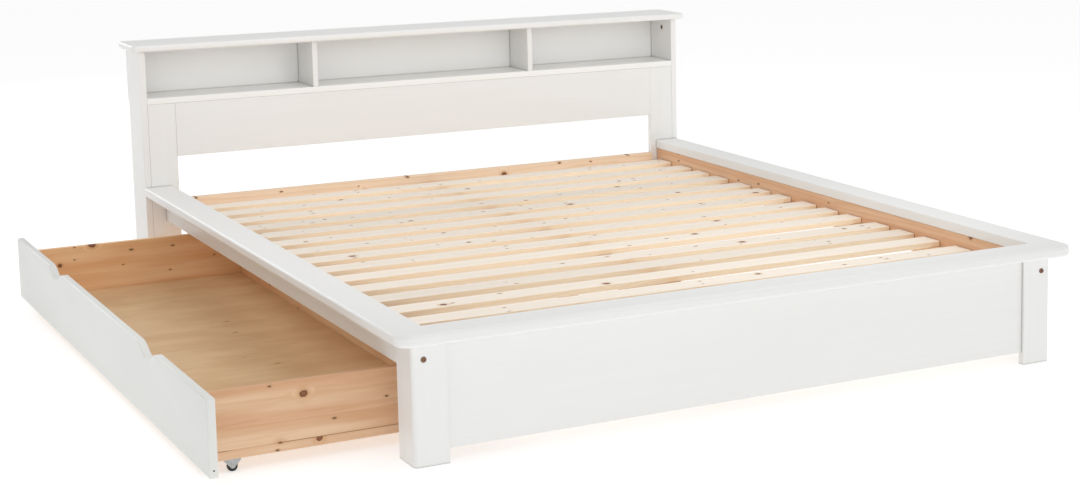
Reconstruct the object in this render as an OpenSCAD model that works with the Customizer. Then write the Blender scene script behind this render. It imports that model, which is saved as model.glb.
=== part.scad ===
// A low double bed frame with a bookcase headboard and a roll-out drawer under its left side.
// Origin: floor level, under the middle of the slatted base. X runs across the bed, Y towards the
// headboard, Z up. The drawer is drawn pulled out by drawer_open.

/* [Mattress well] */
// Width of the mattress that the bed takes
mattress_w = 1600; // [1400:20:1800]
// Length of the mattress that the bed takes
mattress_l = 2000; // [1900:20:2100]
// Room left beside the mattress
side_gap = 7; // [5:1:12]
// Room left beyond each end of the mattress
end_gap = 9; // [5:1:12]

/* [Painted boards] */
// Thickness of the painted boards
board_t = 18; // [16:1:22]
// Radius on the long edges of the painted boards
board_arris = 1.5; // [1:0.5:3]

/* [Ledge and foot] */
// Height of the legs, from the floor to the underside of the ledge
leg_h = 272; // [240:4:320]
// Width of a leg seen from the foot end
leg_w = 80; // [70:2:100]
// Depth of a leg along the side of the bed
leg_depth = 90; // [80:2:110]
// Radius on the outer upright edge of a leg
leg_round = 10; // [4:1:14]
// Width of the ledge boards
ledge_w = 82; // [80:1:90]
// Thickness of the ledge boards
ledge_t = 27; // [24:1:30]
// Radius on the outer edges of the ledge boards
ledge_edge_r = 8; // [4:1:11]
// Radius on the ledge boards' edges beside the mattress
ledge_inner_r = 3; // [2:1:8]
// How far the side ledges stand in past the side rails
ledge_lip = 3; // [0:1:5]
// Radius of the ledge's two corners at the foot, seen from above
ledge_corner_r = 38; // [20:1:38]
// Overhang of the ledge past the leg's face at the foot
foot_overhang = 45; // [30:1:50]
// Depth of the side rails
rail_h = 76; // [60:2:90]
// Height of the foot panel's lower edge above the floor
foot_panel_z = 30; // [20:2:60]
// Set-back of the foot panel behind the legs' faces
foot_recess = 8; // [4:1:12]

/* [Slatted base] */
// Number of slats
slat_count = 16; // [12:1:16]
// Width of a slat
slat_w = 72; // [60:2:80]
// Thickness of a slat
slat_t = 15; // [12:1:18]
// Depth of a slat's top below the ledge's underside
slat_drop = 34; // [30:1:40]
// How far loose slats have drifted along the bed
slat_drift = 4; // [0:0.5:5]
// How far loose slats have turned, in degrees
slat_skew = 0.35; // [0:0.05:0.5]
// Width of the ledger strips under the slats' ends
ledger_w = 30; // [25:1:40]
// Height of the ledger strips
ledger_h = 25; // [20:1:26]

/* [Headboard] */
// Width of the headboard across its side panels
headboard_w = 1766; // [1760:2:1780]
// Depth of the headboard's boards, without the back panel
headboard_d = 143; // [120:1:180]
// Height of the headboard's cap above the floor, at its underside
headboard_h = 700; // [640:10:800]
// Width of the two uprights at the front of the headboard
stile_w = 81; // [70:1:90]
// Height of the centre panel's lower edge
panel_z = 385; // [360:5:420]
// Height of the shelf's top
shelf_z = 561; // [520:1:580]
// Distance of each divider's middle from the middle of the bed
divider_x = 355; // [250:1:450]
// Thickness of a divider
divider_t = 16; // [12:1:18]
// Thickness of the headboard's cap
cap_t = 19; // [16:1:24]
// Overhang of the headboard's cap at its ends
cap_end_overhang = 22; // [10:1:30]
// Overhang of the headboard's cap at the front
cap_front_overhang = 25; // [10:1:35]
// Overhang of the headboard's cap at the back
cap_back_overhang = 4; // [0:1:15]
// Thickness of the headboard's back panel
back_t = 9; // [6:1:12]

/* [Cross rail and centre support] */
// Thickness of the rail across the head end
head_rail_t = 27; // [22:1:30]
// Height of that rail's top above the floor
head_rail_top = 259; // [250:1:270]
// Height of that rail
head_rail_h = 76; // [72:2:90]
// Thickness of the beam under the middle of the slats
beam_t = 45; // [35:1:60]
// Height of that beam
beam_h = 68; // [50:1:90]

/* [Drawer] */
// Height of the drawer front
drawer_front_h = 170; // [150:2:170]
// Gap between the drawer front and the floor
drawer_floor_gap = 20; // [14:1:20]
// Thickness of the drawer front
drawer_front_t = 19; // [16:1:22]
// Length of the drawer front
drawer_front_l = 1945; // [1850:5:1945]
// Distance from the legs' foot faces to the drawer box
drawer_box_inset = 184; // [150:2:190]
// Length of the drawer box, along the bed
drawer_box_l = 1721; // [1500:5:1730]
// Depth of the drawer box behind its front
drawer_box_d = 593; // [450:1:700]
// Height of the drawer's sides
drawer_side_h = 151; // [120:1:151]
// Thickness of the drawer's sides and back
drawer_side_t = 15; // [12:1:18]
// Thickness of the plywood bottom
drawer_bottom_t = 5; // [4:1:8]
// How far the drawer is drawn pulled out
drawer_open = 409; // [0:1:600]
// Length of a finger notch in the drawer front
notch_l = 172; // [120:2:200]
// Depth of a finger notch
notch_depth = 25; // [15:1:35]
// Distance of each finger notch from the middle of the drawer front
notch_y = 478; // [300:1:600]

/* [Casters] */
// Diameter of a caster wheel
wheel_d = 22.5; // [20:0.5:24]
// Width of a caster wheel
wheel_w = 8; // [6:0.5:9]
// Distance of a caster from the nearer end of the drawer's side
caster_inset = 55; // [40:1:90]
// Diameter of a caster axle
axle_d = 4; // [3:0.5:5]
// Clearance around a caster axle, on the radius
axle_play = 0.05; // [0.02:0.01:0.1]

/* [Fastenings] */
// Diameter of the bolts at the bed's corners
bolt_d = 6; // [5:1:8]
// Diameter of the bolts' heads
bolt_head_d = 13; // [12:1:16]
// Diameter of the barrel nuts
nut_d = 10; // [9:1:12]
// Diameter of the dowels
dowel_d = 6; // [5:1:7]
// Length of the dowels
dowel_l = 30; // [24:2:32]
// Diameter of the cam locks
cam_d = 15; // [12:1:18]

/* [Hidden] */
$fn = 64;
hull_fn = 32;             // facets of the round shapes inside a hull
overcut = 1;              // how far a cutter runs past the faces that it cuts

// Levels and faces that the parts share
well_x = mattress_w / 2 + side_gap;            // inner face of the side rails
rail_x = well_x + board_t;                     // outer face of the side rails
leg_x = rail_x + board_t;                      // outer face of the legs
well_y = mattress_l / 2 + end_gap;             // foot panel's inner face and headboard's front
leg_y = -(well_y + board_t + foot_recess);     // foot face of the legs
ledge_y = leg_y - foot_overhang;               // foot edge of the ledge
ledge_in_x = well_x - ledge_lip;               // inner edge of the side ledges
ledge_x = ledge_in_x + ledge_w;                // outer edge of the side ledges
rail_z = leg_h - rail_h;
rail_mid_z = rail_z + rail_h / 2;
slat_z = leg_h - slat_drop - slat_t;           // underside of the slats
headboard_x = headboard_w / 2;
panel_x = headboard_x - board_t;               // inner face of the headboard's side panels
stile_x = panel_x - stile_w;                   // inner edge of the uprights
back_y = well_y + headboard_d;                 // front of the back panel
shelf_low = shelf_z - board_t;
head_rail_y = well_y + board_t - head_rail_t;  // front of the head rail

// Slats
slat_end_gap = 2;
first_slat_gap = 1;                            // from the first slat to the foot panel
last_slat_gap = 28;                            // from the last slat to the head rail
slat_l = 2 * (well_x - slat_end_gap);
slat_swing = slat_l / 2 * sin(slat_skew);      // how far turning moves a slat's ends along the bed
first_slat_y = first_slat_gap + slat_swing - well_y + slat_w / 2;
last_slat_y = head_rail_y - last_slat_gap - slat_w / 2;
slat_pitch = (last_slat_y - first_slat_y) / (slat_count - 1);
slat_arris = 2;

// Ledge corners and headboard cap
cap_edge_r = 7;
cap_corner_r = 16;
back_arris = 1;

// Drawer: its closed front is flush with the legs
drawer_x = -leg_x - drawer_open;                       // outer face of the front
drawer_in_x = drawer_x + drawer_front_t;
drawer_back_x = drawer_in_x + drawer_box_d;            // outer face of the back
drawer_mid_y = (leg_y + leg_depth + well_y) / 2;       // middle of the opening between leg and headboard
box_low_y = leg_y + drawer_box_inset;                  // outer face of the side at the foot
box_high_y = box_low_y + drawer_box_l;
side_z = 27;
floor_z = 43;                                          // underside of the plywood bottom
groove = 6;                                            // depth of the grooves that hold the bottom
front_round = 3;
end_hole_d = 4;
end_hole_z = 17;
end_hole_depth = 12;
notch_steps = 24;
front_dowel_depth = 10;                                // how far a dowel goes into the drawer front
side_dowel_cover = 5;                                  // wood left over the end of a dowel in a side

// Casters
axle_z = wheel_d / 2;
caster_t = 1.5;                                        // thickness of the caster's sheet metal
wheel_side_play = 0.5;
caster_gap = wheel_w + 2 * wheel_side_play;            // room for the wheel between its cheeks
caster_l = 36;
caster_w = caster_gap + 2 * caster_t;
caster_flange = 3;                                     // height of a cheek's square shoulders
caster_screw_xs = [-caster_l / 3, caster_l / 3];
caster_screw_head_d = 5;
caster_xs = [drawer_in_x + caster_inset, drawer_back_x - caster_inset];
caster_ys = [box_low_y + drawer_side_t / 2, box_high_y - drawer_side_t / 2];
caster_places = [for (y = caster_ys) for (x = caster_xs) [x, y]];
wheel_count = 4;
tread_t = 2.5;
hub_wall = 2;
tread_round = 1;
web_recess = 1.2;                                      // depth of the web below the wheel's side faces
screw_d = 3;
screw_head_d = 6;
screw_head_t = 2;

// Fastenings
bolt_x = well_x + board_t / 2;
bolt_reach = 50;                                       // from the rail's end to the bolt's tip
bolt_hole_d = bolt_d + 1;
bolt_tip_room = 4;
head_t = 2.5;
head_taper = 2;
socket_w = 4;
socket_depth = 2;
nut_inset = 40;                                        // from the rail's end to the barrel nut
cam_t = 12;
cam_drop = 32;                                         // from the cap's underside to the cam's middle
cam_inset = 66;                                        // from the headboard's front to the cam
cam_y = well_y + cam_inset;
cam_slot = [1.5, 2, 9];                                // depth, width and length of a cam's driver slots
cam_bolt_d = 6;
cam_bolt_up = 11;
pilot_l = 16;
dowel_margin = 40;                                     // from a board's edge to its first dowel
blind_depth = 12;                                      // how far a dowel goes into a painted board
shelf_dowel_inset = 36;
rail_dowel_pitch = 420;
foot_dowel_pitch = 340;
ledger_screw_pitch = 300;
ledger_screw_l = 40;
panel_dowel_zs = [panel_z + dowel_margin, shelf_low - dowel_margin];
stile_dowel_shares = [0.22, 0.61, 0.88];               // heights as shares of an upright's height
stile_dowel_zs = [for (share = stile_dowel_shares) share * shelf_low];
head_rail_dowel_shares = [0.25, 0.75];
head_rail_dowel_zs = [for (share = head_rail_dowel_shares) head_rail_top - share * head_rail_h];
shelf_dowel_ys = [well_y + shelf_dowel_inset, back_y - shelf_dowel_inset];
foot_dowel_zs = [foot_panel_z + dowel_margin, (foot_panel_z + leg_h) / 2, leg_h - dowel_margin];
drawer_dowel_zs = [side_z + dowel_margin, side_z + drawer_side_h - dowel_margin];
rail_dowel_ys = [for (i = [-2:2]) i * rail_dowel_pitch];
foot_dowel_xs = [for (i = [-2:2]) i * foot_dowel_pitch];
foot_dowel_y = leg_y + (board_t + foot_recess) / 2;
foot_panel_mid_y = -well_y - board_t / 2;
ledger_screw_ys = [for (i = [-3:3]) i * ledger_screw_pitch];
bracket_t = 2;
bracket_lip = 30;
bracket_screw_out = 16;                                // from the beam's face to a bracket's screws
bracket_screw_in = 13;                                 // from a bracket's upper edge to its first screws
bracket_screw_pitch = 18;
bracket_screw_l = 14;                                  // how far those screws go into the wood
bracket_screw_xs = [-beam_t / 2 - bracket_screw_out, beam_t / 2 + bracket_screw_out];
bracket_screw_zs = [-bracket_screw_in - bracket_screw_pitch, -bracket_screw_in];

paint = [0.93, 0.93, 0.91];
pine = [0.90, 0.78, 0.62];
drawer_pine = [0.82, 0.64, 0.45];
plywood = [0.70, 0.57, 0.42];
bronze = [0.36, 0.27, 0.22];
zinc = [0.62, 0.63, 0.62];
steel = [0.7, 0.7, 0.72];
black = [0.08, 0.08, 0.08];

slat_names = [for (i = [1:slat_count]) str("slat_", i)];
wheel_names = [for (i = [1:wheel_count]) str("wheel_", i)];

// ---- Shapes that repeat ----

// Section of a board with its four corners eased to radius r
module eased_section(a, b, r) {
    translate([r, 0]) square([a - 2 * r, b]);
    translate([0, r]) square([a, b - 2 * r]);
    for (x = [r, a - r])
        for (y = [r, b - r])
            translate([x, y]) circle(r);
}

// Boards between two opposite corners, with the long edges eased
module board_x(low, high, r = board_arris) {
    s = high - low;
    translate(low) rotate([90, 0, 90]) linear_extrude(s.x) eased_section(s.y, s.z, r);
}

module board_y(low, high, r = board_arris) {
    s = high - low;
    translate([low.x, high.y, low.z]) rotate([90, 0, 0]) linear_extrude(s.y) eased_section(s.x, s.z, r);
}

module board_z(low, high, r = board_arris) {
    s = high - low;
    translate(low) linear_extrude(s.z) eased_section(s.x, s.y, r);
}

// Plain box between two opposite corners
module block(low, high) {
    translate(low) cube(high - low);
}

// Rods centred on a point, along one axis
module rod_x(at, d, l) {
    translate(at) rotate([0, 90, 0]) cylinder(d = d, h = l, center = true);
}

module rod_y(at, d, l) {
    translate(at) rotate([90, 0, 0]) cylinder(d = d, h = l, center = true);
}

module rod_z(at, d, l) {
    translate(at) cylinder(d = d, h = l, center = true);
}

// Ring that rounds one corner of a slab and its edges
module corner_ring(at, t, edge_r, corner_r) {
    for (z = [edge_r, t - edge_r])
        translate([at.x, at.y, at.z + z])
            rotate_extrude($fn = hull_fn) translate([corner_r - edge_r, 0]) circle(edge_r, $fn = hull_fn);
}

// The right half mirrored to the left
module on_left() {
    mirror([1, 0, 0]) children();
}

module mirrored_pair() {
    children();
    on_left() children();
}

// ---- Fastenings, drawn as solids and reused to cut their own holes ----

module foot_end_dowels() {
    for (side = [-1, 1])
        for (z = foot_dowel_zs) rod_x([side * (leg_x - leg_w), foot_dowel_y, z], dowel_d, dowel_l);
}

module side_cap_dowels() {
    for (y = rail_dowel_ys) rod_z([bolt_x, y, leg_h], dowel_d, dowel_l);
}

module foot_cap_dowels() {
    for (x = foot_dowel_xs) rod_z([x, foot_panel_mid_y, leg_h], dowel_d, dowel_l);
}

module panel_dowels() {
    for (side = [-1, 1])
        for (z = panel_dowel_zs) rod_x([side * stile_x, well_y + board_t / 2, z], dowel_d, dowel_l);
}

module head_rail_dowels() {
    for (side = [-1, 1])
        for (z = head_rail_dowel_zs) rod_x([side * stile_x, well_y + board_t / 2, z], dowel_d, dowel_l);
}

// The stile's outer edge meets the side panel's inner face, and the blind holes stop inside the panel
module stile_dowels() {
    for (z = stile_dowel_zs)
        rod_x([panel_x - dowel_l / 2 + blind_depth, well_y + board_t / 2, z], dowel_d, dowel_l);
}

module shelf_dowels() {
    for (y = shelf_dowel_ys)
        rod_x([panel_x - dowel_l / 2 + blind_depth, y, shelf_z - board_t / 2], dowel_d, dowel_l);
}

module divider_dowels() {
    for (y = shelf_dowel_ys) {
        rod_z([divider_x, y, shelf_z + dowel_l / 2 - blind_depth], dowel_d, dowel_l);
        rod_z([divider_x, y, headboard_h - dowel_l / 2 + blind_depth], dowel_d, dowel_l);
    }
}

module leg_dowel() {
    rod_z([0, 0, slat_z - beam_h], dowel_d, dowel_l);
}

module frame_dowels() {
    color(pine) {
        foot_end_dowels();
        foot_cap_dowels();
        panel_dowels();
        head_rail_dowels();
        mirrored_pair() {
            side_cap_dowels();
            stile_dowels();
            shelf_dowels();
            divider_dowels();
        }
        leg_dowel();
    }
}

// One bolt into the end of a side rail, from a face at y = 0 along +Y
module bolt(grip) {
    difference() {
        translate([0, -head_t, 0]) rotate([-90, 0, 0])
            cylinder(d1 = bolt_head_d - head_taper, d2 = bolt_head_d, h = head_t);
        translate([0, -head_t, 0]) rotate([-90, 30, 0])
            cylinder(d = socket_w / cos(30), h = 2 * socket_depth, center = true, $fn = 6);
    }
    translate([0, (grip + bolt_reach) / 2, 0]) rotate([90, 0, 0])
        cylinder(d = bolt_d, h = grip + bolt_reach, center = true);
}

// Places of the four bolts on the right-hand side: foot end, then head end
module right_bolts() {
    translate([bolt_x, leg_y, rail_mid_z]) bolt(board_t);
    translate([bolt_x, well_y + board_t, rail_mid_z]) rotate([0, 0, 180]) bolt(board_t);
}

module right_bolt_holes() {
    hole_l = board_t + bolt_reach + bolt_tip_room;
    rod_y([bolt_x, leg_y + hole_l / 2, rail_mid_z], bolt_hole_d, hole_l);
    rod_y([bolt_x, well_y + board_t - hole_l / 2, rail_mid_z], bolt_hole_d, hole_l);
}

module frame_bolts() {
    color(bronze) mirrored_pair() right_bolts();
}

module right_nuts() {
    for (y = [leg_y + board_t + nut_inset, well_y - nut_inset])
        rod_x([bolt_x, y, rail_mid_z], nut_d, board_t);
}

module barrel_nuts() {
    color(steel) mirrored_pair() difference() {
        right_nuts();
        for (y = [leg_y + board_t + nut_inset, well_y - nut_inset])
            rod_y([bolt_x, y, rail_mid_z], bolt_d, nut_d + 2 * overcut);
    }
}

module right_ledger_screws() {
    face = well_x - ledger_w;
    z = slat_z - ledger_h / 2;
    for (y = ledger_screw_ys) {
        rod_x([face + (ledger_screw_l - screw_head_t) / 2, y, z], screw_d, ledger_screw_l + screw_head_t);
        rod_x([face - screw_head_t / 2, y, z], screw_head_d, screw_head_t);
    }
}

module bracket_screws() {
    proud = bracket_t + screw_head_t;
    for (end = [-1, 1])
        for (x = bracket_screw_xs)
            for (z = bracket_screw_zs) {
                face = end < 0 ? -well_y : head_rail_y;
                shank_y = face + end * (bracket_screw_l - proud) / 2;
                head_y = face - end * (bracket_t + screw_head_t / 2);
                rod_y([x, shank_y, slat_z + z], screw_d, bracket_screw_l + proud);
                rod_y([x, head_y, slat_z + z], screw_head_d, screw_head_t);
            }
}

module frame_screws() {
    color(zinc) {
        mirrored_pair() right_ledger_screws();
        bracket_screws();
    }
}

module right_cam() {
    rod_x([panel_x + cam_t / 2, cam_y, headboard_h - cam_drop], cam_d, cam_t);
}

module right_cam_bolt() {
    low = headboard_h - cam_drop + cam_d / 2;
    high = headboard_h + cam_bolt_up;
    rod_z([panel_x + board_t / 2, cam_y, (low + high) / 2], cam_bolt_d, high - low);
}

module cam_locks() {
    color(bronze) mirrored_pair() difference() {
        right_cam();
        for (turn = [0, 90])
            translate([panel_x, cam_y, headboard_h - cam_drop]) rotate([turn, 0, 0])
                cube([2 * cam_slot.x, cam_slot.y, cam_slot.z], center = true);
    }
}

module cam_bolts() {
    color(steel) mirrored_pair() right_cam_bolt();
}

// ---- Headboard ----

module headboard_cap() {
    x = headboard_x + cap_end_overhang;
    low_y = well_y - cap_front_overhang;
    high_y = back_y + back_t + cap_back_overhang;
    color(paint) difference() {
        hull()
            for (cx = [cap_corner_r - x, x - cap_corner_r])
                for (cy = [low_y + cap_corner_r, high_y - cap_corner_r])
                    corner_ring([cx, cy, headboard_h], cap_t, cap_edge_r, cap_corner_r);
        mirrored_pair() divider_dowels();
        mirrored_pair() right_cam_bolt();
    }
}

module right_side_panel() {
    color(paint) difference() {
        board_z([panel_x, well_y, 0], [headboard_x, back_y, headboard_h]);
        stile_dowels();
        shelf_dowels();
        right_cam();
        right_cam_bolt();
    }
}

module headboard_side_right() {
    right_side_panel();
}

module headboard_side_left() {
    on_left() right_side_panel();
}

module right_stile() {
    color(paint) difference() {
        board_z([stile_x, well_y, 0], [panel_x, well_y + board_t, shelf_low]);
        panel_dowels();
        head_rail_dowels();
        stile_dowels();
        right_bolt_holes();
    }
}

module headboard_stile_right() {
    right_stile();
}

module headboard_stile_left() {
    on_left() right_stile();
}

module headboard_panel() {
    color(paint) difference() {
        board_x([-stile_x, well_y, panel_z], [stile_x, well_y + board_t, shelf_low]);
        panel_dowels();
    }
}

module headboard_shelf() {
    color(paint) difference() {
        board_x([-panel_x, well_y, shelf_low], [panel_x, back_y, shelf_z]);
        mirrored_pair() shelf_dowels();
        mirrored_pair() divider_dowels();
    }
}

module right_divider() {
    front_setback = 2;
    color(paint) difference() {
        board_z(
            [divider_x - divider_t / 2, well_y + front_setback, shelf_z],
            [divider_x + divider_t / 2, back_y, headboard_h]
        );
        divider_dowels();
    }
}

module divider_right() {
    right_divider();
}

module divider_left() {
    on_left() right_divider();
}

module headboard_back() {
    color(paint)
        board_x([-headboard_x, back_y, shelf_low], [headboard_x, back_y + back_t, headboard_h], back_arris);
}

module head_rail() {
    color(pine) difference() {
        board_x(
            [-stile_x, head_rail_y, head_rail_top - head_rail_h],
            [stile_x, well_y + board_t, head_rail_top],
            slat_arris
        );
        head_rail_dowels();
        bracket_screws();
    }
}

// ---- Foot, legs, ledge and rails ----

module foot_panel() {
    color(paint) difference() {
        board_x([leg_w - leg_x, -well_y - board_t, foot_panel_z], [leg_x - leg_w, -well_y, leg_h]);
        foot_end_dowels();
        foot_cap_dowels();
        bracket_screws();
    }
}

// L-shaped corner post glued from two boards, with a rounded outer edge
module right_leg() {
    difference() {
        linear_extrude(leg_h) {
            translate([leg_x - leg_w, leg_y]) square([leg_w - leg_round, board_t]);
            translate([leg_x - board_t, leg_y + leg_round]) square([board_t, leg_depth - leg_round]);
            translate([leg_x - leg_round, leg_y + leg_round]) circle(leg_round);
        }
        foot_end_dowels();
        right_bolt_holes();
    }
}

module leg_right() {
    color(paint) right_leg();
}

module leg_left() {
    color(paint) on_left() right_leg();
}

// Wedge on the far side of the right corner's mitre, seen from the foot ledge
module mitre_wedge() {
    big = ledge_w * 2;
    translate([ledge_in_x, ledge_y + ledge_w, leg_h - overcut])
        linear_extrude(ledge_t + 2 * overcut)
            polygon([[-big, big], [big, -big], [big, big]]);
}

// Foot ledge before its ends are mitred
module foot_slab() {
    x = ledge_x - ledge_corner_r;
    hull() {
        for (cx = [-x, x])
            corner_ring([cx, ledge_y + ledge_corner_r, leg_h], ledge_t, ledge_edge_r, ledge_corner_r);
        for (z = [ledge_inner_r, ledge_t - ledge_inner_r])
            translate([0, ledge_y + ledge_w - ledge_inner_r, leg_h + z]) rotate([0, 90, 0])
                cylinder(r = ledge_inner_r, h = 2 * ledge_in_x + ledge_w, center = true, $fn = hull_fn);
    }
}

module foot_cap() {
    color(paint) difference() {
        foot_slab();
        mitre_wedge();
        on_left() mitre_wedge();
        foot_cap_dowels();
    }
}

// Side ledge before its foot end is mitred
module right_side_slab() {
    hull() {
        corner_ring(
            [ledge_x - ledge_corner_r, ledge_y + ledge_corner_r, leg_h],
            ledge_t, ledge_edge_r, ledge_corner_r
        );
        for (z = [ledge_edge_r, ledge_t - ledge_edge_r])
            translate([ledge_x - ledge_edge_r, well_y, leg_h + z]) rotate([90, 0, 0])
                cylinder(r = ledge_edge_r, h = overcut, $fn = hull_fn);
        for (z = [ledge_inner_r, ledge_t - ledge_inner_r])
            translate([ledge_in_x + ledge_inner_r, well_y, leg_h + z]) rotate([90, 0, 0])
                cylinder(r = ledge_inner_r, h = well_y - ledge_y - ledge_w / 2, $fn = hull_fn);
    }
}

module right_side_cap() {
    color(paint) difference() {
        right_side_slab();
        foot_side_of_mitre();
        side_cap_dowels();
    }
}

// The other side of the same mitre, cut from the side ledge
module foot_side_of_mitre() {
    big = ledge_w * 2;
    translate([ledge_in_x, ledge_y + ledge_w, leg_h - overcut])
        linear_extrude(ledge_t + 2 * overcut)
            polygon([[-big, big], [big, -big], [-big, -big]]);
}

module side_cap_right() {
    right_side_cap();
}

module side_cap_left() {
    on_left() right_side_cap();
}

module right_rail() {
    color(pine) difference() {
        board_y([well_x, leg_y + board_t, rail_z], [rail_x, well_y, leg_h]);
        side_cap_dowels();
        right_bolt_holes();
        right_nuts();
        right_ledger_screws();
    }
}

module side_rail_right() {
    right_rail();
}

module side_rail_left() {
    on_left() right_rail();
}

module right_ledger() {
    color(pine) difference() {
        board_y(
            [well_x - ledger_w, -well_y, slat_z - ledger_h],
            [well_x, head_rail_y, slat_z],
            slat_arris
        );
        right_ledger_screws();
    }
}

module ledger_right() {
    right_ledger();
}

module ledger_left() {
    on_left() right_ledger();
}

// ---- Slats and centre support ----

// Slats drift and turn in threes, so that every third gap opens towards the right
function slat_slip(i) = sin(120 * i - 60);

module slat(i) {
    y = first_slat_y + (i - 1) * slat_pitch + slat_slip(i) * slat_drift;
    color(pine) translate([0, y, slat_z]) rotate([0, 0, slat_slip(i) * slat_skew])
        board_x([-slat_l / 2, -slat_w / 2, 0], [slat_l / 2, slat_w / 2, slat_t], slat_arris);
}

module centre_beam() {
    color(pine) difference() {
        board_y(
            [-beam_t / 2, -well_y + bracket_t, slat_z - beam_h],
            [beam_t / 2, head_rail_y - bracket_t, slat_z],
            slat_arris
        );
        leg_dowel();
    }
}

module centre_leg() {
    color(pine) difference() {
        board_z([-beam_t / 2, -beam_t / 2, 0], [beam_t / 2, beam_t / 2, slat_z - beam_h], slat_arris);
        leg_dowel();
    }
}

// U-shaped steel shoe that carries one end of the beam, opening towards +Y
module beam_bracket() {
    lip_x = beam_t / 2 + bracket_lip;
    low = -beam_h - bracket_t;
    difference() {
        block([-lip_x, 0, low], [lip_x, bracket_t, 0]);
        for (x = bracket_screw_xs)
            for (z = bracket_screw_zs) rod_y([x, 0, z], screw_d, 3 * bracket_t);
    }
    block([-beam_t / 2 - bracket_t, 0, low], [beam_t / 2 + bracket_t, bracket_lip, -beam_h]);
    for (x = [-beam_t / 2 - bracket_t, beam_t / 2])
        block([x, 0, low], [x + bracket_t, bracket_lip, 0]);
}

module beam_brackets() {
    color(zinc) {
        translate([0, -well_y, slat_z]) beam_bracket();
        translate([0, head_rail_y, slat_z]) mirror([0, 1, 0]) beam_bracket();
    }
}

// ---- Drawer ----

// Cutter for a finger notch, whose edge is one full wave of a cosine
module finger_notch(y) {
    above = 5;
    wave = [
        for (i = [0:notch_steps])
            let (s = i / notch_steps)
                [(s - 0.5) * notch_l, -notch_depth * (1 - cos(360 * s)) / 2]
    ];
    translate([drawer_x - overcut, y, drawer_floor_gap + drawer_front_h]) rotate([90, 0, 90])
        linear_extrude(drawer_front_t + 2 * overcut)
            polygon(concat(wave, [[notch_l / 2, above], [-notch_l / 2, above]]));
}

module drawer_end_holes() {
    for (side = [-1, 1])
        rod_y(
            [drawer_x + drawer_front_t / 2, drawer_mid_y + side * drawer_front_l / 2,
             drawer_floor_gap + end_hole_z],
            end_hole_d, 2 * end_hole_depth
        );
}

// Dowels that join the drawer's sides to its front and its back
module drawer_box_dowels() {
    to_side_dowel = side_dowel_cover + dowel_l / 2;
    for (z = drawer_dowel_zs) {
        for (y = caster_ys)
            rod_x([drawer_in_x + dowel_l / 2 - front_dowel_depth, y, z], dowel_d, dowel_l);
        for (y = [box_low_y + to_side_dowel, box_high_y - to_side_dowel])
            rod_y([drawer_back_x - drawer_side_t / 2, y, z], dowel_d, dowel_l);
    }
}

module drawer_dowels() {
    color(pine) drawer_box_dowels();
}

module bottom_sheet() {
    block(
        [drawer_in_x - groove, box_low_y + drawer_side_t - groove, floor_z],
        [drawer_back_x - drawer_side_t + groove, box_high_y - drawer_side_t + groove,
         floor_z + drawer_bottom_t]
    );
}

module drawer_front() {
    color(paint) difference() {
        board_y(
            [drawer_x, drawer_mid_y - drawer_front_l / 2, drawer_floor_gap],
            [drawer_in_x, drawer_mid_y + drawer_front_l / 2, drawer_floor_gap + drawer_front_h],
            front_round
        );
        for (side = [-1, 1]) finger_notch(drawer_mid_y + side * notch_y);
        bottom_sheet();
        drawer_box_dowels();
        drawer_end_holes();
    }
}

module drawer_side(y) {
    color(drawer_pine) difference() {
        board_x(
            [drawer_in_x, y, side_z],
            [drawer_back_x, y + drawer_side_t, side_z + drawer_side_h]
        );
        bottom_sheet();
        drawer_box_dowels();
        caster_screw_shanks();
    }
}

module drawer_side_foot() {
    drawer_side(box_low_y);
}

module drawer_side_head() {
    drawer_side(box_high_y - drawer_side_t);
}

module drawer_back() {
    color(drawer_pine) difference() {
        board_y(
            [drawer_back_x - drawer_side_t, box_low_y + drawer_side_t, side_z],
            [drawer_back_x, box_high_y - drawer_side_t, side_z + drawer_side_h]
        );
        bottom_sheet();
        drawer_box_dowels();
    }
}

module drawer_bottom() {
    color(plywood) bottom_sheet();
}

// ---- Casters ----

// One cheek of a caster: a tapered plate that ends in a round eye for the axle
module caster_cheek() {
    eye_r = 5;
    shoulder = eye_r * [0.8, -0.6];                    // where the taper runs into the eye
    top = side_z - axle_z;
    difference() {
        union() {
            circle(eye_r);
            polygon([
                [-caster_l / 2, top], [-caster_l / 2, top - caster_flange], [-shoulder.x, shoulder.y],
                shoulder, [caster_l / 2, top - caster_flange], [caster_l / 2, top]
            ]);
        }
        circle(d = axle_d);
    }
}

module caster_housing() {
    for (y = [-caster_w / 2, caster_w / 2 - caster_t])
        translate([0, y + caster_t, axle_z]) rotate([90, 0, 0]) linear_extrude(caster_t) caster_cheek();
    difference() {
        block([-caster_l / 2, -caster_w / 2, side_z - caster_t], [caster_l / 2, caster_w / 2, side_z]);
        for (x = caster_screw_xs) rod_z([x, 0, side_z], screw_d, 3 * caster_t);
    }
}

module caster_housings() {
    color(zinc) for (p = caster_places) translate([p.x, p.y, 0]) caster_housing();
}

module caster_axles() {
    rivet_t = 0.8;
    rivet_d = axle_d + 2;
    color(steel) for (p = caster_places) {
        rod_y([p.x, p.y, axle_z], axle_d, caster_w + 2 * rivet_t);
        for (side = [-1, 1])
            rod_y([p.x, p.y + side * (caster_w + rivet_t) / 2, axle_z], rivet_d, rivet_t);
    }
}

module caster_screw_shanks() {
    for (p = caster_places)
        for (x = caster_screw_xs)
            rod_z([p.x + x, p.y, side_z + pilot_l / 2 - caster_t], screw_d, pilot_l);
}

module caster_screws() {
    head_z = side_z - caster_t - screw_head_t / 2;
    color(steel) {
        caster_screw_shanks();
        for (p = caster_places)
            for (x = caster_screw_xs)
                rod_z([p.x + x, p.y, head_z], caster_screw_head_d, screw_head_t);
    }
}

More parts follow.
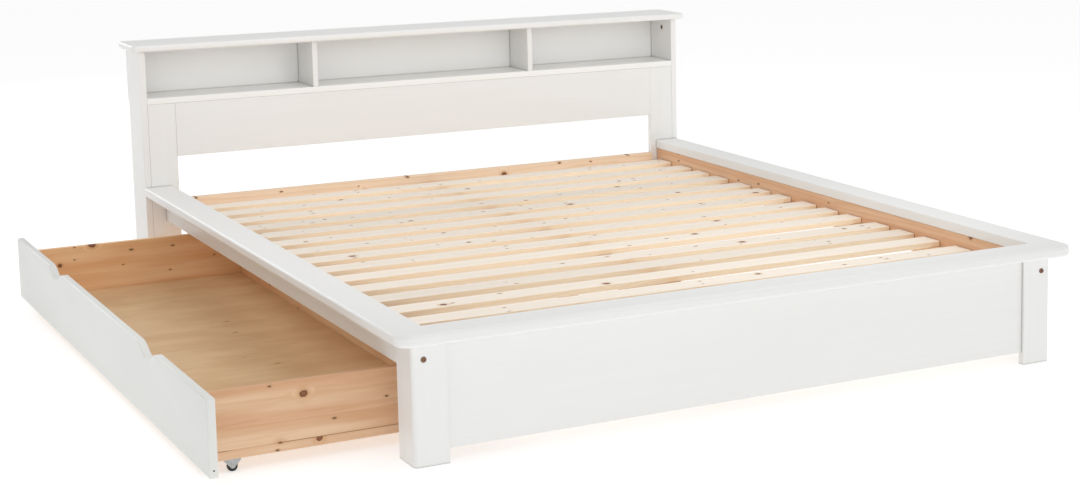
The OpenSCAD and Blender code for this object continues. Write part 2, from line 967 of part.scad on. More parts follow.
// Wheel with a hub, a shallow web and a round-edged tread
module wheel(i) {
    r = wheel_d / 2;
    p = caster_places[i - 1];
    hub_r = axle_d / 2 + hub_wall;
    color(black) translate([p.x, p.y, axle_z]) rotate([90, 0, 0]) difference() {
        union() {
            cylinder(r = r, h = wheel_w - 2 * tread_round, center = true);
            cylinder(r = r - tread_round, h = wheel_w, center = true);
            for (side = [-1, 1])
                translate([0, 0, side * (wheel_w / 2 - tread_round)])
                    rotate_extrude() translate([r - tread_round, 0]) circle(tread_round, $fn = hull_fn);
        }
        for (side = [-1, 1])
            translate([0, 0, side * wheel_w / 2]) difference() {
                cylinder(r = r - tread_t, h = 2 * web_recess, center = true);
                cylinder(r = hub_r, h = 3 * web_recess, center = true);
            }
        cylinder(r = axle_d / 2 + axle_play, h = wheel_w + 2 * overcut, center = true);
    }
}

// ---- What is drawn ----

headboard_cap();
headboard_side_left();
headboard_side_right();
headboard_stile_left();
headboard_stile_right();
headboard_panel();
headboard_shelf();
divider_left();
divider_right();
headboard_back();
head_rail();
foot_panel();
leg_left();
leg_right();
foot_cap();
side_cap_left();
side_cap_right();
side_rail_left();
side_rail_right();
ledger_left();
ledger_right();
for (i = [1:slat_count]) slat(i);
centre_beam();
centre_leg();
beam_brackets();
frame_bolts();
barrel_nuts();
frame_dowels();
frame_screws();
cam_locks();
cam_bolts();
drawer_front();
drawer_side_foot();
drawer_side_head();
drawer_back();
drawer_bottom();
drawer_dowels();
caster_housings();
caster_axles();
caster_screws();
for (i = [1:wheel_count]) wheel(i);
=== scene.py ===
import math

import bmesh
import bpy
from mathutils import Matrix, Vector


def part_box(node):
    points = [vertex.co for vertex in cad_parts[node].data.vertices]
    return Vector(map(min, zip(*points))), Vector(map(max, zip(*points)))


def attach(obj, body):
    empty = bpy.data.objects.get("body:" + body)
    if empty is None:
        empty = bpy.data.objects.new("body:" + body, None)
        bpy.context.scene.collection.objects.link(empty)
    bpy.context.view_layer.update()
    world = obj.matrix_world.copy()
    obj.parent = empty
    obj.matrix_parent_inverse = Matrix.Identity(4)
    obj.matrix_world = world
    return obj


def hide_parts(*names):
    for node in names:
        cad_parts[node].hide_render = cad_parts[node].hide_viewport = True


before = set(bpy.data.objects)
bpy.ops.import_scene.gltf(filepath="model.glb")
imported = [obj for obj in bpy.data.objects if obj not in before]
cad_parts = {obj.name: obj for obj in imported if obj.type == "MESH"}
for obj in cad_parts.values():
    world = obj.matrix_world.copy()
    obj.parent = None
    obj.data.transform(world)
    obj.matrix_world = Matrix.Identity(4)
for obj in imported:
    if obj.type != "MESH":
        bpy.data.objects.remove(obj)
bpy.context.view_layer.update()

# ---- Driving values, in metres and degrees ----

# Camera: the spot it stands on, and how far it is turned from +Y towards +X, tipped down and rolled
CAMERA_AT = (-2.334, -5.031, 1.3485)
CAMERA_TURN, CAMERA_TIP, CAMERA_ROLL = 29.75, 8.67, 0.51
CAMERA_LENS = 68.87
CAMERA_SENSOR = 36
CAMERA_SHIFT = (-0.1833, -0.1018)
CAMERA_REACH = 200

# Lamps: where each stands, the point it faces, its width in metres and its power in watts
LAMPS = {
    "front": ((-0.9, -7.5, 1.7), (-0.4, 0.5, 0.3), 3.0, 45.0),
    "top": ((0.4, -0.4, 5.0), (0, 0.1, 0.3), 4.0, 36.0),
    "headboard": ((0.4, -1.0, 1.3), (0.1, 1.15, 0.66), 0.9, 5.4),
    "drawer": ((-1.65, -0.5, 1.45), (-0.95, 0.15, 0.05), 0.7, 2.9),
    "behind": ((-2.0, 5.6, 1.9), (-0.85, 0, 0.29), 2.4, 31.0),
}

# Brightness of the white room, on the drawer's side and on the other
ROOM_DIM, ROOM_BRIGHT = 0.5, 0.78

# Floor: half its width, and the light it gives off by itself
FLOOR_REACH = 30
FLOOR_GLOW = 0.49

# Drawer front: radius of its worked edges, and the length, depth and spread of its finger notches
FRONT_EDGE = 0.003
FRONT_EDGE_STEPS = 4
NOTCH_LENGTH, NOTCH_DEPTH, NOTCH_SPREAD = 0.172, 0.025, 0.478
NOTCH_STEPS = 32

# Drawer front's end holes: height above the board's lower edge, diameter, depth and facets
END_HOLE_UP, END_HOLE_WIDE, END_HOLE_DEEP = 0.017, 0.004, 0.012
END_HOLE_FACETS = 24

# Angles above which an edge is worked round, and above which it is shaded as a sharp one
WORKED_ANGLE, SHARP_ANGLE = 50, 35

# Height of the joint between a drawer board's two strips, above its lower edge
STRIP_JOINT_UP = 0.02

# How far a side rail's paint starts from its inner face, and how fast and far its border wavers
PAINT_START = 0.002
PAINT_FADE = 0.0006
PAINT_WAVER = 0.0012

# How far away a neighbouring board still darkens a seam with painted shade
SEAM_SHADE_REACH = 0.007

# Cells that hold at most one knot each, along and across the grain
KNOT_CELL, PIN_CELL, FLECK_CELL = (0.42, 0.09), (0.13, 0.034), (0.3, 0.12)
PIN_RADIUS, FLECK_RADIUS = 0.0029, 0.003

# Ways that a board's grain runs: along it, across its face, and through it, as coordinate numbers
ALONG_X_FLAT = (0, 1, 2)
ALONG_X_UPRIGHT = (0, 2, 1)
ALONG_Y_FLAT = (1, 0, 2)
ALONG_Y_UPRIGHT = (1, 2, 0)
ALONG_Z_FACING_Y = (2, 0, 1)
ALONG_Z_FACING_X = (2, 1, 0)

# Woods: the colours of the early wood, the late wood and the streaks
SLAT_PINE = ("f7efe4", "ead9c3", "efe3d2")
RAIL_PINE = ("edcbab", "d6ab83", "e2bd99")
HEAD_RAIL_PINE = ("f5dcc2", "e2c09c", "ead0b2")
FRAMING_PINE = ("e6c39c", "cc9c6c", "dcb286")
DRAWER_FOOT_PINE = ("ebcbaa", "cf9f76", "dfb994")
# The drawer's head side and back are lighter copies of the drawer pine: painted light for the shade they sit
# in under the bed, over a warmer tone of their own.
DRAWER_HEAD_PINE_PAINTED_LIGHT = ("f6d1a6", "e2ae78", "eebf90")
DRAWER_BACK_PINE_PAINTED_LIGHT = ("fbdcb4", "e6b584", "f0c698")
BEECH = ("e2c8a4", "cfae84", "d8bb94")

# Knots: the colours of the halo, the core and its dark rim
KNOT = ("cf9c6c", "8a5836", "6b4126")
PIN_KNOT = ("c79e74", "7d563c", "96704f")
VENEER_FLECK = ("bd9466", "8d6743", "9c744c")

# Painted shade for the seam between boards, bare and painted, and the real dark joint between two glued
# strips
WOOD_SEAM_SHADE, PAINT_SEAM_SHADE, GLUE = "8a6444", "8a867d", "8a5f3c"


def colour(code):
    """A colour written as six hex digits, in linear light."""
    channels = [int(code[i:i + 2], 16) / 255 for i in (0, 2, 4)]
    return (*[c / 12.92 if c < 0.04045 else ((c + 0.055) / 1.055) ** 2.4 for c in channels], 1)


# ---- Node trees ----

class Tree:
    """A material's node tree. Its calls add nodes and give back their outputs."""

    def __init__(self, name):
        self.material = bpy.data.materials.new(name)
        self.material.use_nodes = True
        self.tree = self.material.node_tree
        self.shader = next(n for n in self.tree.nodes if n.type == "BSDF_PRINCIPLED")

    def node(self, kind, *values, **settings):
        made = self.tree.nodes.new("ShaderNode" + kind)
        for key, value in settings.items():
            setattr(made, key, value)
        for socket, value in zip(made.inputs, values):
            self.feed(socket, value)
        return made

    def feed(self, socket, value):
        if isinstance(value, bpy.types.NodeSocket):
            self.tree.links.new(value, socket)
        elif value is not None:
            socket.default_value = value

    def feed_all(self, made, **inputs):
        """Feeds a node's sockets, whose names are written with _ for a space."""
        for name, value in inputs.items():
            self.feed(made.inputs[name.replace("_", " ")], value)

    def math(self, operation, *values):
        return self.node("Math", *values, operation=operation).outputs[0]

    def times(self, a, b):
        return self.math("MULTIPLY", a, b)

    def vector(self, operation, *values):
        made = self.node("VectorMath", *values, operation=operation)
        return made.outputs["Value" if operation == "LENGTH" else "Vector"]

    def place(self):
        """A point's place on the object, which moves with its body."""
        return self.node("TexCoord").outputs["Object"]

    def split(self, vector):
        return self.node("SeparateXYZ", vector).outputs

    def join(self, x, y, z=0.0):
        return self.node("CombineXYZ", x, y, z).outputs[0]

    def noise(self, vector, scale, detail=2.0, roughness=0.5):
        made = self.node("TexNoise")
        self.feed_all(made, Vector=vector, Scale=scale, Detail=detail, Roughness=roughness)
        return made.outputs["Fac"]

    def luck(self, number):
        """Three numbers from 0 to 1 that belong to a whole number."""
        return self.split(self.node("TexWhiteNoise", None, number, noise_dimensions="1D").outputs["Color"])

    def span(self, value, low, high, to_low=0.0, to_high=1.0):
        """Value eased from to_low at low to to_high at high."""
        return self.node(
            "MapRange", value, low, high, to_low, to_high, interpolation_type="SMOOTHSTEP"
        ).outputs[0]

    def blended(self, kind, share, a, b, **settings):
        """A Mix node of a kind, whose sockets are told apart by their identifiers."""
        made = self.node("Mix", **settings)
        for name, value in (("Factor_Float", share), ("A_" + kind, a), ("B_" + kind, b)):
            self.feed(next(s for s in made.inputs if s.identifier == name), value)
        return next(s for s in made.outputs if s.identifier == "Result_" + kind)

    def mix(self, share, a, b, way="MIX"):
        return self.blended("Color", share, a, b, data_type="RGBA", blend_type=way)

    def mix_number(self, share, a, b):
        return self.blended("Float", share, a, b, data_type="FLOAT")

    def bump(self, height, distance, strength=1.0):
        made = self.node("Bump")
        self.feed_all(made, Height=height, Distance=distance, Strength=strength)
        self.feed(self.shader.inputs["Normal"], made.outputs[0])

    def finish(self, **inputs):
        """Feeds the shader's own sockets and gives back the material."""
        self.feed_all(self.shader, **inputs)
        return self.material


def painted_seam_shade(t, base, code, most):
    """A surface's colour with painted shade: turned towards another by up to most where a neighbouring board
    is close.
    """
    near = t.node("AmbientOcclusion", samples=8)
    t.feed_all(near, Distance=SEAM_SHADE_REACH)
    return t.mix(t.span(near.outputs["AO"], 0.35, 0.9, most, 0.0), base, colour(code))


# ---- Wood ----

class Board:
    """A point's place in a board of wood: along the grain, across the face and through the board."""

    def __init__(self, tree, grain, number=0.0):
        parts = tree.split(tree.place())
        self.tree = tree
        self.along, self.across, self.through = (parts[i] for i in grain)
        self.luck = tree.luck(number)
        self.start = tree.math("MULTIPLY_ADD", self.luck[0], 9.0, self.along)


def knots(board, cell, radius, share, seed, stretch):
    """Knots scattered over a board, one at most in each cell of (length, width), longer along the grain
    by stretch. Gives the distance to the nearest in its own radii, and its radius."""
    t = board.tree
    scaled = t.join(
        t.math("MULTIPLY_ADD", board.start, 1 / cell[0], seed),
        t.math("MULTIPLY_ADD", board.across, 1 / cell[1], t.times(board.luck[1], 40.0)),
    )
    cells = t.node("TexVoronoi", scaled, voronoi_dimensions="2D")
    t.feed_all(cells, Scale=1.0, Randomness=0.6)
    away = t.vector("SUBTRACT", scaled, cells.outputs["Position"])
    away = t.vector("LENGTH", t.vector("MULTIPLY", away, (cell[0] / stretch, cell[1], 0.0)))
    chance = t.split(cells.outputs["Color"])[0]
    least = 1 - share
    size = t.times(t.math("GREATER_THAN", chance, least), t.span(chance, least, 1.0, 0.5 * radius, radius))
    return t.math("DIVIDE", away, t.math("MAXIMUM", size, 1e-5)), size


def rings(board, gap, knot, knot_size):
    """The dark late wood of the year rings, 0 to 1, bent round a knot."""
    t = board.tree
    drift = t.math("SUBTRACT", t.noise(t.join(t.times(board.start, 1.3), 3.0), 1.0, 1.0), 0.5)
    pith_side = t.math("MULTIPLY_ADD", board.luck[1], 0.16, t.math("MULTIPLY_ADD", drift, 0.06, -0.08))
    pith_down = t.math("MULTIPLY_ADD", board.luck[2], 0.06, 0.01)
    radius = t.vector("LENGTH", t.join(
        t.math("SUBTRACT", board.across, pith_side),
        t.math("ADD", board.through, pith_down),
    ))
    swell = t.times(knot_size, t.span(knot, 0.6, 3.5, 1.1, 0.0))
    waver = t.noise(t.join(t.times(board.start, 5.0), t.times(board.across, 60.0)), 1.0)
    radius = t.math("ADD", t.math("ADD", radius, swell), t.times(waver, gap * 1.3))
    year = t.math("FRACT", t.math("DIVIDE", radius, gap))
    return t.times(t.span(year, 0.25, 0.85), t.span(year, 0.9, 1.0, 1.0, 0.0))


def streaks(board, fineness, seed=0.0):
    """Long soft streaks, 0 to 1, that run with the grain."""
    t = board.tree
    place = t.join(
        t.math("MULTIPLY_ADD", board.start, 2.2, seed),
        t.times(board.across, fineness),
        t.times(board.through, fineness),
    )
    return t.span(t.noise(place, 1.0, 3.0), 0.3, 0.7)


def streaked(board, base, code, share, fineness, seed=0.0):
    """The board's colour with streaks of another over it."""
    t = board.tree
    return t.mix(t.times(streaks(board, fineness, seed), share), base, colour(code))


def paint_knots(board, base, knot, codes):
    """A knot's colours over the board's: a warm halo, the core and its dark rim."""
    t = board.tree
    halo, core, rim = (colour(code) for code in codes)
    ragged = t.noise(t.join(board.start, board.across, board.through), 160.0, 1.0)
    knot = t.math("MULTIPLY_ADD", t.math("SUBTRACT", ragged, 0.5), 0.5, knot)
    base = t.mix(t.span(knot, 0.9, 2.4, 0.6, 0.0), base, halo)
    base = t.mix(t.span(knot, 0.8, 1.15, 1.0, 0.0), base, rim)
    return t.mix(t.span(knot, 0.45, 0.85, 1.0, 0.0), base, core)


def facing_up(t):
    """1 on faces that look up or down, 0 on upright ones."""
    return t.span(t.math("ABSOLUTE", t.split(t.node("NewGeometry").outputs["Normal"])[2]), 0.5, 0.9)


def toned(board, base, tone):
    """The colour made a little lighter or darker, by up to tone, as the board's own luck has it."""
    t = board.tree
    shade = t.math("MULTIPLY_ADD", t.math("SUBTRACT", board.luck[0], 0.5), 2 * tone, 1.0)
    return t.mix(1.0, base, t.node("CombineColor", shade, shade, shade).outputs[0], "MULTIPLY")


def pine(name, grain, wood, number=0.0, gap=0.0042, strength=0.5, knot_share=0.5, knot_radius=0.009,
         pin_share=0.45, tone=0.1, warm=None, upright_shade=None, over=None):
    """Planed pine: year rings, streaks, knots and a tone of its own for each board.
    number says which board a point is in, warm adds broad ruddy bands, upright_shade tints the upright faces
    darker as painted shade and leaves them without knots, and over paints on top of the wood."""
    t = Tree(name)
    light, late, streak = wood
    board = Board(t, grain, number(t) if callable(number) else number)
    big, big_size = knots(board, KNOT_CELL, knot_radius, knot_share, 0.0, 1.15)
    pin, _ = knots(board, PIN_CELL, PIN_RADIUS, pin_share, 31.0, 1.9)
    late_wood = rings(board, gap, big, big_size)
    base = t.mix(t.times(late_wood, strength), colour(light), colour(late))
    base = streaked(board, base, streak, 0.45, 55.0)
    base = streaked(board, base, late, 0.18, 300.0, 17.0)
    if warm:
        base = streaked(board, base, warm, 0.55, 26.0, 23.0)
    base = toned(board, base, tone)
    # Painted shade: the upright faces are tinted darker than the tops and bottoms.
    if upright_shade:
        base = t.mix(facing_up(t), t.mix(1.0, base, colour(upright_shade), "MULTIPLY"), base)
    knotted = paint_knots(board, base, pin, PIN_KNOT)
    knotted = paint_knots(board, knotted, big, KNOT)
    base = t.mix(facing_up(t), base, knotted) if upright_shade else knotted
    fibre = t.noise(
        t.join(t.times(board.start, 12.0), t.times(board.across, 1400.0), t.times(board.through, 1400.0)),
        1.0, 2.0,
    )
    # Painted shade: the wood is darker where another board is close, in the gap where boards meet.
    base = painted_seam_shade(t, base, WOOD_SEAM_SHADE, 0.2)
    roughness = t.span(fibre, 0.2, 0.8, 0.5, 0.66)
    if over:
        base, roughness = over(t, base, roughness)
    t.bump(t.math("MULTIPLY_ADD", late_wood, 0.5, t.times(fibre, 0.5)), 0.00025, 0.6)
    return t.finish(Base_Color=base, Roughness=roughness, Specular_IOR_Level=0.4)


def slat_number(first, pitch):
    """Which slat a point is in, counted along the bed."""
    def number(t):
        y = t.split(t.place())[1]
        return t.math("ROUND", t.math("DIVIDE", t.math("SUBTRACT", y, first), pitch))
    return number


def strip_number(joint, low, high):
    """Which of the two strips of a glued-up board a point is in, below its joint or above."""
    def number(t):
        above = t.math("GREATER_THAN", t.split(t.place())[2], joint)
        return t.math("MULTIPLY_ADD", above, high - low, low)
    return number


def glue_line(joint):
    """Paints the thin dark joint between a glued-up board's two strips."""
    def over(t, base, roughness):
        away = t.math("ABSOLUTE", t.math("SUBTRACT", t.split(t.place())[2], joint))
        broken = t.span(t.noise(t.place(), 9.0), 0.35, 0.55, 0.15, 0.8)
        share = t.times(t.span(away, 0.0006, 0.0014, 1.0, 0.0), broken)
        return t.mix(share, base, colour(GLUE)), roughness
    return over


# ---- Paint ----

def paint_layer(t, grain):
    """The colour, roughness and relief of brushed paint over wood, on one board's grain."""
    board = Board(t, grain)
    cloud = t.noise(t.place(), 3.5, 3.0)
    ghost = streaks(board, 130.0, 5.0)
    base = t.mix(t.span(cloud, 0.3, 0.7, 0.0, 0.5), colour("f0f0ef"), colour("eeeeec"))
    base = t.mix(t.times(ghost, 0.2), base, colour("ebe9e5"))
    # Painted shade: the paint is darker where another board is close, in the gap where boards meet.
    base = painted_seam_shade(t, base, PAINT_SEAM_SHADE, 0.6)
    peel = t.noise(t.place(), 420.0, 2.0)
    height = t.math("MULTIPLY_ADD", ghost, 0.5, t.times(peel, 0.5))
    return base, t.span(cloud, 0.2, 0.8, 0.3, 0.33), height


def white_paint(name, grain, shade_tint="ffffff"):
    """Satin white paint with the wood's grain faintly telegraphed through."""
    t = Tree(name)
    base, roughness, height = paint_layer(t, grain)
    # Painted shade: a tint other than white makes this copy of the paint darker and cooler.
    base = t.mix(1.0, base, colour(shade_tint), "MULTIPLY")
    t.bump(height, 0.0001, 0.3)
    return t.finish(Base_Color=base, Roughness=roughness, Specular_IOR_Level=0.45)


def sprayed_board(name):
    """Smooth fibreboard, sprayed a brighter white than the brushed wood."""
    t = Tree(name)
    mist = t.noise(t.place(), 700.0, 2.0)
    base = t.mix(t.span(t.noise(t.place(), 2.5), 0.3, 0.7), colour("f9f9f8"), colour("f6f6f4"))
    t.bump(mist, 0.00005, 0.3)
    # Painted shade: the colour is darker where another board is close, in the gap where boards meet.
    return t.finish(Base_Color=painted_seam_shade(t, base, PAINT_SEAM_SHADE, 0.6), Roughness=t.span(mist, 0.2, 0.8, 0.36, 0.42),
                    Specular_IOR_Level=0.45)


def painted_outside(edge):
    """Paint over a side rail from its outer face up to a distance from the bed's middle line."""
    def over(t, base, roughness):
        out = t.math("ABSOLUTE", t.split(t.place())[0])
        waver = t.times(t.noise(t.place(), 40.0), PAINT_WAVER)
        share = t.span(t.math("ADD", out, waver), edge, edge + PAINT_FADE)
        coat, gloss, _ = paint_layer(t, ALONG_Y_UPRIGHT)
        return t.mix(share, base, coat), t.mix_number(share, roughness, gloss)
    return over


# ---- Sheet goods, metals and plastic ----

def plywood(name):
    """A veneer face: soft blotches, fine faint streaks across the drawer, pores and a few dark flecks."""
    t = Tree(name)
    board = Board(t, ALONG_X_FLAT)
    blotch = t.noise(t.join(t.times(board.along, 5.0), t.times(board.across, 9.0)), 1.0, 3.0)
    base = t.mix(t.span(blotch, 0.35, 0.65), colour("e6c59b"), colour("dab489"))
    base = streaked(board, base, "cea578", 0.3, 90.0)
    base = streaked(board, base, "bb9163", 0.22, 420.0, 9.0)
    pores = t.noise(t.join(t.times(board.along, 30.0), t.times(board.across, 900.0)), 1.0)
    base = t.mix(t.span(pores, 0.6, 0.8, 0.0, 0.3), base, colour("946f48"))
    fleck, _ = knots(board, FLECK_CELL, FLECK_RADIUS, 0.4, 5.0, 2.5)
    base = paint_knots(board, base, fleck, VENEER_FLECK)
    t.bump(pores, 0.00015, 0.5)
    return t.finish(Base_Color=base, Roughness=t.span(blotch, 0.2, 0.8, 0.52, 0.66))


def metal(name, bright, dull, grain_scale, rough, worn=None):
    """Metal with a fine mottle, and another colour where it is rubbed."""
    t = Tree(name)
    mottle = t.noise(t.place(), grain_scale, 4.0, 0.6)
    base = t.mix(t.span(mottle, 0.35, 0.65), colour(bright), colour(dull))
    if worn:
        rubbed = t.noise(t.place(), grain_scale * 0.3, 2.0)
        base = t.mix(t.span(rubbed, 0.6, 0.75, 0.0, 0.6), base, colour(worn))
    t.bump(mottle, 0.0001, 0.3)
    return t.finish(Base_Color=base, Metallic=1.0, Roughness=t.span(mottle, 0.3, 0.7, rough, rough + 0.15))


def plastic(name, clean, dusty):
    """Hard moulded plastic with a little dust."""
    t = Tree(name)
    dust = t.noise(t.place(), 180.0, 3.0)
    base = t.mix(t.span(dust, 0.45, 0.75, 0.0, 0.4), colour(clean), colour(dusty))
    t.bump(t.noise(t.place(), 1500.0), 0.00005, 0.4)
    return t.finish(Base_Color=base, Roughness=t.span(dust, 0.3, 0.7, 0.35, 0.6))


# ---- Pieces ----

def nodes_named(start):
    """The CAD nodes whose names start so."""
    return [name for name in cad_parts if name.startswith(start)]


def dress(material, *names):
    """Gives CAD nodes or new pieces one material."""
    for name in names:
        mesh = bpy.data.objects[name].data
        mesh.materials.clear()
        mesh.materials.append(material)


def show(thing):
    """Links a new object into the scene."""
    bpy.context.scene.collection.objects.link(thing)
    return thing


def mesh_from(made, name):
    """Turns a bmesh into a mesh and frees it."""
    mesh = bpy.data.meshes.new(name)
    made.to_mesh(mesh)
    made.free()
    return mesh


def round_edges(made):
    """Rounds a bmesh's sharp edges for good."""
    made.normal_update()
    sharp = [e for e in made.edges if len(e.link_faces) == 2
             and e.calc_face_angle() > math.radians(WORKED_ANGLE)]
    bmesh.ops.bevel(made, geom=sharp, offset=FRONT_EDGE, segments=FRONT_EDGE_STEPS, profile=0.5,
                    affect="EDGES", clamp_overlap=True)


def smooth_rounds(mesh):
    """Shades a mesh's rounded faces smooth and leaves the flat ones, square to the axes, flat."""
    for face in mesh.polygons:
        face.use_smooth = max(abs(part) for part in face.normal) < 0.9999
    mesh.set_sharp_from_angle(angle=math.radians(SHARP_ANGLE))


def drilled(mesh, at):
    """A mesh with a round blind hole along the bed, centred on a point of its end face."""
    drill = bmesh.new()
    bmesh.ops.create_cone(
        drill, cap_ends=True, segments=END_HOLE_FACETS, radius1=END_HOLE_WIDE / 2, radius2=END_HOLE_WIDE / 2,
        depth=2 * END_HOLE_DEEP, matrix=Matrix.Translation(at) @ Matrix.Rotation(math.pi / 2, 4, "X"),
    )
    tool = show(bpy.data.objects.new("drill", mesh_from(drill, "drill")))
    work = show(bpy.data.objects.new("work", mesh))
    cut = work.modifiers.new("hole", "BOOLEAN")
    cut.operation = "DIFFERENCE"
    cut.solver = "EXACT"
    cut.object = tool
    cut_mesh = bpy.data.meshes.new_from_object(work.evaluated_get(bpy.context.evaluated_depsgraph_get()))
    for thing in (tool, work):
        bpy.data.objects.remove(thing)
    cut_mesh.name = mesh.name
    return cut_mesh


def notch_wave(middle, top):
    """The points of one finger notch, along its edge from foot to head."""
    points = []
    for i in range(NOTCH_STEPS + 1):
        s = i / NOTCH_STEPS
        dip = NOTCH_DEPTH * (1 - math.cos(2 * math.pi * s)) / 2
        points.append((middle + (s - 0.5) * NOTCH_LENGTH, top - dip))
    return points


def drawer_front():
    """The drawer's painted front, with its edges and its notches' edges rounded over."""
    low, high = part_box("drawer_front")
    middle = (low.y + high.y) / 2
    outline = [(high.y, low.z), (low.y, low.z), (low.y, high.z)]
    outline += notch_wave(middle - NOTCH_SPREAD, high.z) + notch_wave(middle + NOTCH_SPREAD, high.z)
    outline += [(high.y, high.z)]
    made = bmesh.new()
    face = made.faces.new([made.verts.new((low.x, y, z)) for y, z in outline])
    grown = bmesh.ops.extrude_face_region(made, geom=[face])["geom"]
    bmesh.ops.translate(made, vec=(high.x - low.x, 0, 0),
                        verts=[v for v in grown if isinstance(v, bmesh.types.BMVert)])
    bmesh.ops.recalc_face_normals(made, faces=made.faces)
    round_edges(made)
    mesh = mesh_from(made, "drawer_front_board")
    for y in (low.y, high.y):
        mesh = drilled(mesh, ((low.x + high.x) / 2, y, low.z + END_HOLE_UP))
    smooth_rounds(mesh)
    piece = show(bpy.data.objects.new("drawer_front_board", mesh))
    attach(piece, "drawer")
    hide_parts("drawer_front")


# ---- Studio ----

def studio_floor():
    """A pale floor, wide enough to fill every view."""
    made = bmesh.new()
    bmesh.ops.create_grid(made, x_segments=1, y_segments=1, size=FLOOR_REACH)
    floor = show(bpy.data.objects.new("studio_floor", mesh_from(made, "studio_floor")))
    t = Tree("floor")
    dress(t.finish(Base_Color=colour("dedede"), Roughness=0.9, Specular_IOR_Level=0.1,
                   Emission_Color=colour("ffffff"), Emission_Strength=FLOOR_GLOW), "studio_floor")


def studio_world():
    """A white room, a little dimmer on the side that the drawer opens to."""
    world = bpy.data.worlds.new("studio")
    world.use_nodes = True
    nodes, links = world.node_tree.nodes, world.node_tree.links
    towards = nodes.new("ShaderNodeTexCoord")
    parts = nodes.new("ShaderNodeSeparateXYZ")
    level = nodes.new("ShaderNodeMapRange")
    links.new(towards.outputs["Generated"], parts.inputs[0])
    links.new(parts.outputs["X"], level.inputs["Value"])
    for name, value in (("From Min", -1.0), ("From Max", 1.0), ("To Min", ROOM_DIM), ("To Max", ROOM_BRIGHT)):
        level.inputs[name].default_value = value
    background = nodes["Background"]
    background.inputs["Color"].default_value = colour("ffffff")
    links.new(level.outputs[0], background.inputs["Strength"])
    bpy.context.scene.world = world


def studio_lamps():
    """Soft round lamps that the camera doesn't see."""
    for name, (at, towards, size, power) in LAMPS.items():
        light = bpy.data.lights.new(name, "AREA")
        light.shape = "DISK"
        light.size = size
        light.energy = power
        lamp = show(bpy.data.objects.new(name, light))
        lamp.location = at
        lamp.rotation_euler = (Vector(towards) - Vector(at)).to_track_quat("-Z", "Y").to_euler()
        lamp.visible_camera = False


def studio_camera():
    """The camera on its spot, turned, tipped and rolled."""
    data = bpy.data.cameras.new("camera")
    data.lens = CAMERA_LENS
    data.sensor_width = CAMERA_SENSOR
    data.shift_x, data.shift_y = CAMERA_SHIFT
    data.clip_end = CAMERA_REACH
    camera = show(bpy.data.objects.new("camera", data))
    turn, tip, roll = (math.radians(a) for a in (CAMERA_TURN, CAMERA_TIP, CAMERA_ROLL))
    camera.matrix_world = (
        Matrix.Translation(CAMERA_AT)
        @ Matrix.Rotation(-turn, 4, "Z")
        @ Matrix.Rotation(math.pi / 2 - tip, 4, "X")
        @ Matrix.Rotation(-roll, 4, "Z")
    )
    bpy.context.scene.camera = camera


# ---- The bed ----

def dress_slats():
    """One material for all slats, each with its own grain and knots."""
    slats = sorted(nodes_named("slat_"), key=lambda name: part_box(name)[0].y)
    middles = [sum(corner.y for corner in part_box(name)) / 2 for name in (slats[0], slats[-1])]
    pitch = (middles[1] - middles[0]) / (len(slats) - 1)
    # The slats' upright faces are tinted darker than their tops: painted shade.
    wood = pine("pine_slats", ALONG_X_FLAT, SLAT_PINE, number=slat_number(middles[0], pitch), strength=0.4,
                pin_share=0.34, knot_share=0.7, knot_radius=0.0075, tone=0.05, upright_shade="fcf1e0")
    dress(wood, *slats)


def dress_framing():
    """The bare and half bare wood of the frame."""
    paint_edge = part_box("side_rail_right")[0].x + PAINT_START
    rails = pine("pine_rails", ALONG_Y_UPRIGHT, RAIL_PINE, number=3.0, knot_radius=0.012, knot_share=0.8,
                 warm="d69a70", over=painted_outside(paint_edge))
    head_rail = pine("pine_head_rail", ALONG_X_UPRIGHT, HEAD_RAIL_PINE, number=8.0, knot_radius=0.008,
                     knot_share=0.8)
    dowels = pine("beech_dowels", ALONG_X_FLAT, BEECH, number=14.0, knot_share=0.0001, pin_share=0.0001)
    dress(rails, "side_rail_left", "side_rail_right")
    dress(head_rail, "head_rail")
    dress(pine("pine_ledgers", ALONG_Y_FLAT, FRAMING_PINE, number=5.0), "ledger_left", "ledger_right")
    dress(pine("pine_beam", ALONG_Y_UPRIGHT, FRAMING_PINE, number=11.0), "centre_beam")
    dress(pine("pine_leg", ALONG_Z_FACING_Y, FRAMING_PINE, number=12.0), "centre_leg")
    dress(dowels, "frame_dowels", "drawer_dowels")


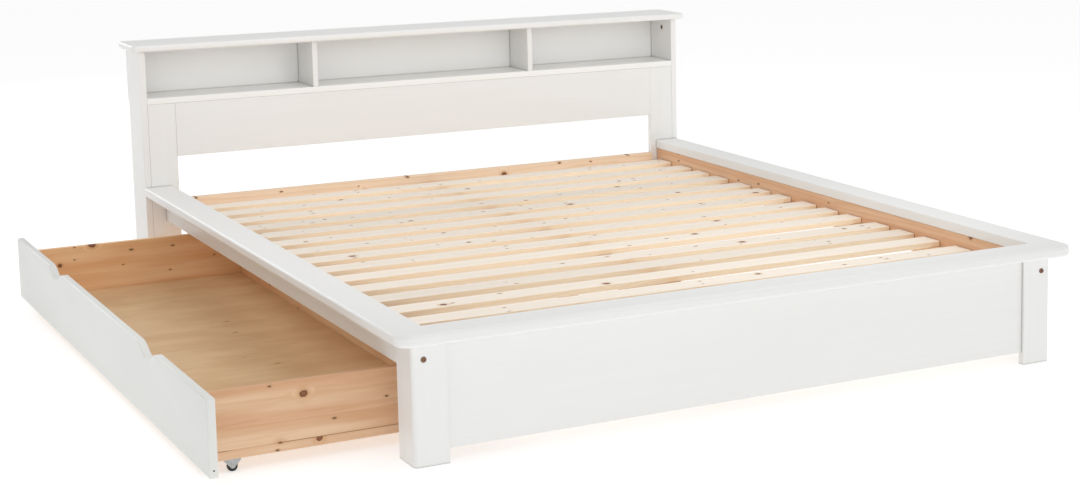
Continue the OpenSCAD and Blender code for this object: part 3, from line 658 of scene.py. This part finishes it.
def dress_painted():
    """The painted boards, each with paint that follows its own grain."""
    dress(white_paint("paint_along_x", ALONG_X_UPRIGHT), "foot_panel", "foot_cap", "headboard_panel",
          "headboard_cap")
    dress(white_paint("paint_along_y", ALONG_Y_FLAT), "side_cap_left", "side_cap_right")
    dress(white_paint("paint_upright", ALONG_Z_FACING_Y), "leg_left", "leg_right", "headboard_stile_left",
          "headboard_stile_right")
    dress(white_paint("paint_upright_side", ALONG_Z_FACING_X), "headboard_side_left", "headboard_side_right",
          "divider_left", "divider_right")
    dress(sprayed_board("sprayed_board"), "headboard_shelf", "headboard_back")


def drawer_pine(name, grain, wood, strips, warm, **knotting):
    """Pine glued up of a low and a high strip, whose numbers are given."""
    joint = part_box("drawer_side_foot")[0].z + STRIP_JOINT_UP
    return pine(name, grain, wood, number=strip_number(joint, *strips), gap=0.009, strength=0.4, tone=0.04,
                warm=warm, over=glue_line(joint), **knotting)


def dress_drawer():
    """The drawer's pine box, its plywood bottom and its painted front."""
    foot = drawer_pine("pine_drawer_foot", ALONG_X_UPRIGHT, DRAWER_FOOT_PINE, (21.0, 24.0), "cc8f62",
                       knot_radius=0.008, knot_share=0.8)
    # The head side and the back get lighter wood and lighter warm bands than the foot side: painted light for
    # the shade inside the drawer.
    head = drawer_pine("pine_drawer_head_painted_light", ALONG_X_UPRIGHT, DRAWER_HEAD_PINE_PAINTED_LIGHT, (33.0, 36.0), "dc9a66")
    back = drawer_pine("pine_drawer_back_painted_light", ALONG_Y_UPRIGHT, DRAWER_BACK_PINE_PAINTED_LIGHT, (27.0, 29.0), "e8ac7a")
    dress(foot, "drawer_side_foot")
    dress(head, "drawer_side_head")
    dress(back, "drawer_back")
    dress(plywood("plywood_bottom"), "drawer_bottom")
    drawer_front()
    # The drawer front's paint is a darker, cooler copy of the white: painted shade for its side-facing face.
    dress(white_paint("paint_drawer_front_shaded", ALONG_Y_UPRIGHT, "f1f2f0"), "drawer_front_board")


def dress_fittings():
    """Bolts, locks, screws, sheet metal and wheels."""
    dress(metal("bronze_bolts", "9c7d6a", "77594a", 900.0, 0.42, "bfa08a"), "frame_bolts", "cam_locks")
    dress(metal("zinc_sheet", "b9bbbb", "9a9d9e", 500.0, 0.3), "caster_housings", "beam_brackets",
          "barrel_nuts")
    dress(metal("steel", "c4c4c6", "a2a3a6", 900.0, 0.25), "frame_screws", "caster_screws", "caster_axles",
          "cam_bolts")
    dress(plastic("black_plastic", "141414", "3a3835"), *nodes_named("wheel_"))


bpy.context.scene.view_settings.view_transform = "Standard"
studio_camera()
studio_world()
studio_lamps()
studio_floor()
dress_slats()
dress_framing()
dress_painted()
dress_drawer()
dress_fittings()
